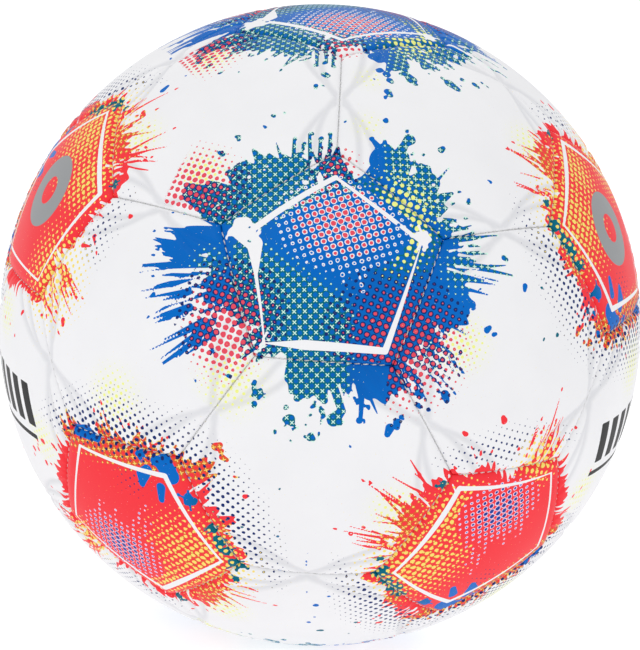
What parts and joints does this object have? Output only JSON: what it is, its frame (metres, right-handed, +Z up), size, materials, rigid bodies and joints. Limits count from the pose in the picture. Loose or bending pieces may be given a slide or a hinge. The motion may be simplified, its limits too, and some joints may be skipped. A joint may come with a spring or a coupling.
{
  "type": "soccer ball",
  "caption": "Stitched soccer ball of five-sided and six-sided padded panels, with an inner bladder, an inflation valve and a pull-out valve core.",
  "frame": {"origin": "centre of the ball", "axes": "+Z up through the middle of a five-sided panel, -Y to the front, near a second five-sided panel; the valve points out of the back"},
  "size_m": [0.22, 0.22, 0.22],
  "materials": {
    "cover_white": "white coated synthetic leather, satin",
    "cover_blue": "synthetic leather printed blue, satin",
    "cover_red": "synthetic leather printed coral red, satin",
    "foam": "closed-cell foam, matte",
    "textile": "woven polyester and cotton backing",
    "thread": "waxed polyester thread",
    "bladder_rubber": "moulded butyl rubber, matte",
    "valve_rubber": "moulded rubber, matte",
    "core_rubber": "soft silicone rubber, satin"
  },
  "bodies": {
    "ball": {"hex_panel_01": "cover_white", "hex_panel_02": "cover_white", "hex_panel_03": "cover_white", "hex_panel_04": "cover_white", "hex_panel_05": "cover_white", "hex_panel_06": "cover_white", "hex_panel_07": "cover_white", "hex_panel_08": "cover_white", "hex_panel_09": "cover_white", "hex_panel_10": "cover_white", "hex_panel_11": "cover_white", "hex_panel_12": "cover_white", "hex_panel_13": "cover_white", "hex_panel_14": "cover_white", "hex_panel_15": "cover_white", "hex_panel_16": "cover_white", "hex_panel_17": "cover_white", "hex_panel_18": "cover_white", "hex_panel_19": "cover_white", "valve_panel": "cover_white", "pent_panel_01": "cover_blue", "pent_panel_02": "cover_blue", "pent_panel_03": "cover_red", "pent_panel_04": "cover_red", "pent_panel_05": "cover_red", "pent_panel_06": "cover_red", "pent_panel_07": "cover_red", "pent_panel_08": "cover_red", "pent_panel_09": "cover_blue", "pent_panel_10": "cover_red", "pent_panel_11": "cover_red", "pent_panel_12": "cover_blue", "hex_foam_pads": "foam", "pent_foam_pads": "foam", "valve_foam_pad": "foam", "hex_backings": "textile", "pent_backings": "textile", "valve_backing": "textile", "hex_seam_threads": "thread", "pent_seam_threads": "thread", "bladder": "bladder_rubber", "balance_patch": "bladder_rubber", "valve_housing": "valve_rubber"},
    "valve_core": {"valve_core": "core_rubber"}
  },
  "joints": [
    {"name": "valve_core_pull", "type": "slide", "parent": "ball", "child": "valve_core", "axis": [0, 0.9822, 0.1876], "range_m": [0, 0.018]}
  ]
}
